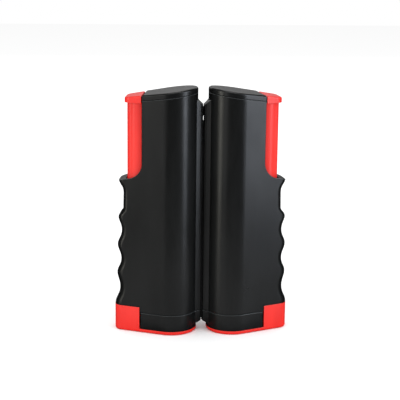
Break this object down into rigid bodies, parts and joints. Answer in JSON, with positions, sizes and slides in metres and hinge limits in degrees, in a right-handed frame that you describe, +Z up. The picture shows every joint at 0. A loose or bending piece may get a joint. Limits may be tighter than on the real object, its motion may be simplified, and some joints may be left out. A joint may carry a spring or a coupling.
{
  "type": "retractable table tennis net post set",
  "caption": "Pair of black net posts with red spring clamps, stored nose to nose, with a roll-up table tennis net wound inside.",
  "frame": {"origin": "on the floor, at the middle of the pair's bounding box; both barrel axes cross Y = 0", "axes": "+Z up, +X from the left post to the right post along the pull of the net, -Y the front, where the shells have no screws"},
  "size_m": [0.1402, 0.041, 0.1998],
  "materials": {
    "casing_black": "satin injection-moulded ABS",
    "clamp_red": "semi-gloss injection-moulded ABS",
    "pad_rubber": "matt moulded rubber",
    "screw_steel": "zinc-plated steel",
    "spring_steel": "oiled spring wire",
    "reel_plastic": "natural acetal",
    "net_mesh": "knitted polyester mesh",
    "net_tape": "folded woven tape"
  },
  "bodies": {
    "left_post": {"left_front_shell": "casing_black", "left_rear_shell": "casing_black", "left_top_cap": "casing_black", "left_base_block": "casing_black", "left_upper_pad": "pad_rubber", "left_shell_screws": "screw_steel", "left_base_screws": "screw_steel", "left_clamp_spring": "spring_steel", "reel_spindle": "screw_steel", "reel_bearing_plate": "reel_plastic", "torsion_spring": "spring_steel"},
    "left_clamp": {"left_push_bar": "clamp_red", "left_clamp_foot": "clamp_red", "left_foot_screws": "screw_steel", "left_lower_pad": "pad_rubber"},
    "net_reel": {"reel_tube": "reel_plastic", "reel_bottom_plug": "reel_plastic", "reel_top_plug": "reel_plastic", "net_roll": "net_mesh", "tape_roll": "net_tape"},
    "net_end": {"net_end_rod": "screw_steel", "net_web": "net_mesh", "tape_web": "net_tape"},
    "right_post": {"right_front_shell": "casing_black", "right_rear_shell": "casing_black", "right_top_cap": "casing_black", "right_base_block": "casing_black", "right_upper_pad": "pad_rubber", "right_shell_screws": "screw_steel", "right_base_screws": "screw_steel", "right_clamp_spring": "spring_steel"},
    "right_clamp": {"right_push_bar": "clamp_red", "right_clamp_foot": "clamp_red", "right_foot_screws": "screw_steel", "right_lower_pad": "pad_rubber"}
  },
  "joints": [
    {"name": "net_pull", "type": "slide", "parent": "left_post", "child": "net_end", "axis": [1, 0, 0], "range_m": [0, 1.7], "stiffness_N_per_m": 2.9, "springref_m": -1, "deforming": ["net_web", "tape_web"]},
    {"name": "reel_spin", "type": "hinge", "parent": "left_post", "child": "net_reel", "pos_m": [-0.02456, 0, 0.1], "axis": [0, 0, 1], "range_deg": [-7930, 0]},
    {"name": "post_swivel", "type": "hinge", "parent": "net_end", "child": "right_post", "pos_m": [0.00317, -0.00301, 0.1], "axis": [0, 0, 1], "range_deg": [-30, 0]},
    {"name": "left_clamp_slide", "type": "slide", "parent": "left_post", "child": "left_clamp", "axis": [0, 0, -1], "range_m": [0, 0.05], "stiffness_N_per_m": 700, "springref_m": -0.036, "deforming": ["left_clamp_spring"]},
    {"name": "right_clamp_slide", "type": "slide", "parent": "right_post", "child": "right_clamp", "axis": [0, 0, -1], "range_m": [0, 0.05], "stiffness_N_per_m": 700, "springref_m": -0.036, "deforming": ["right_clamp_spring"]}
  ],
  "couplings": [
    {"joint": "reel_spin", "follows": "net_pull", "rad_per_m": -81.3}
  ]
}
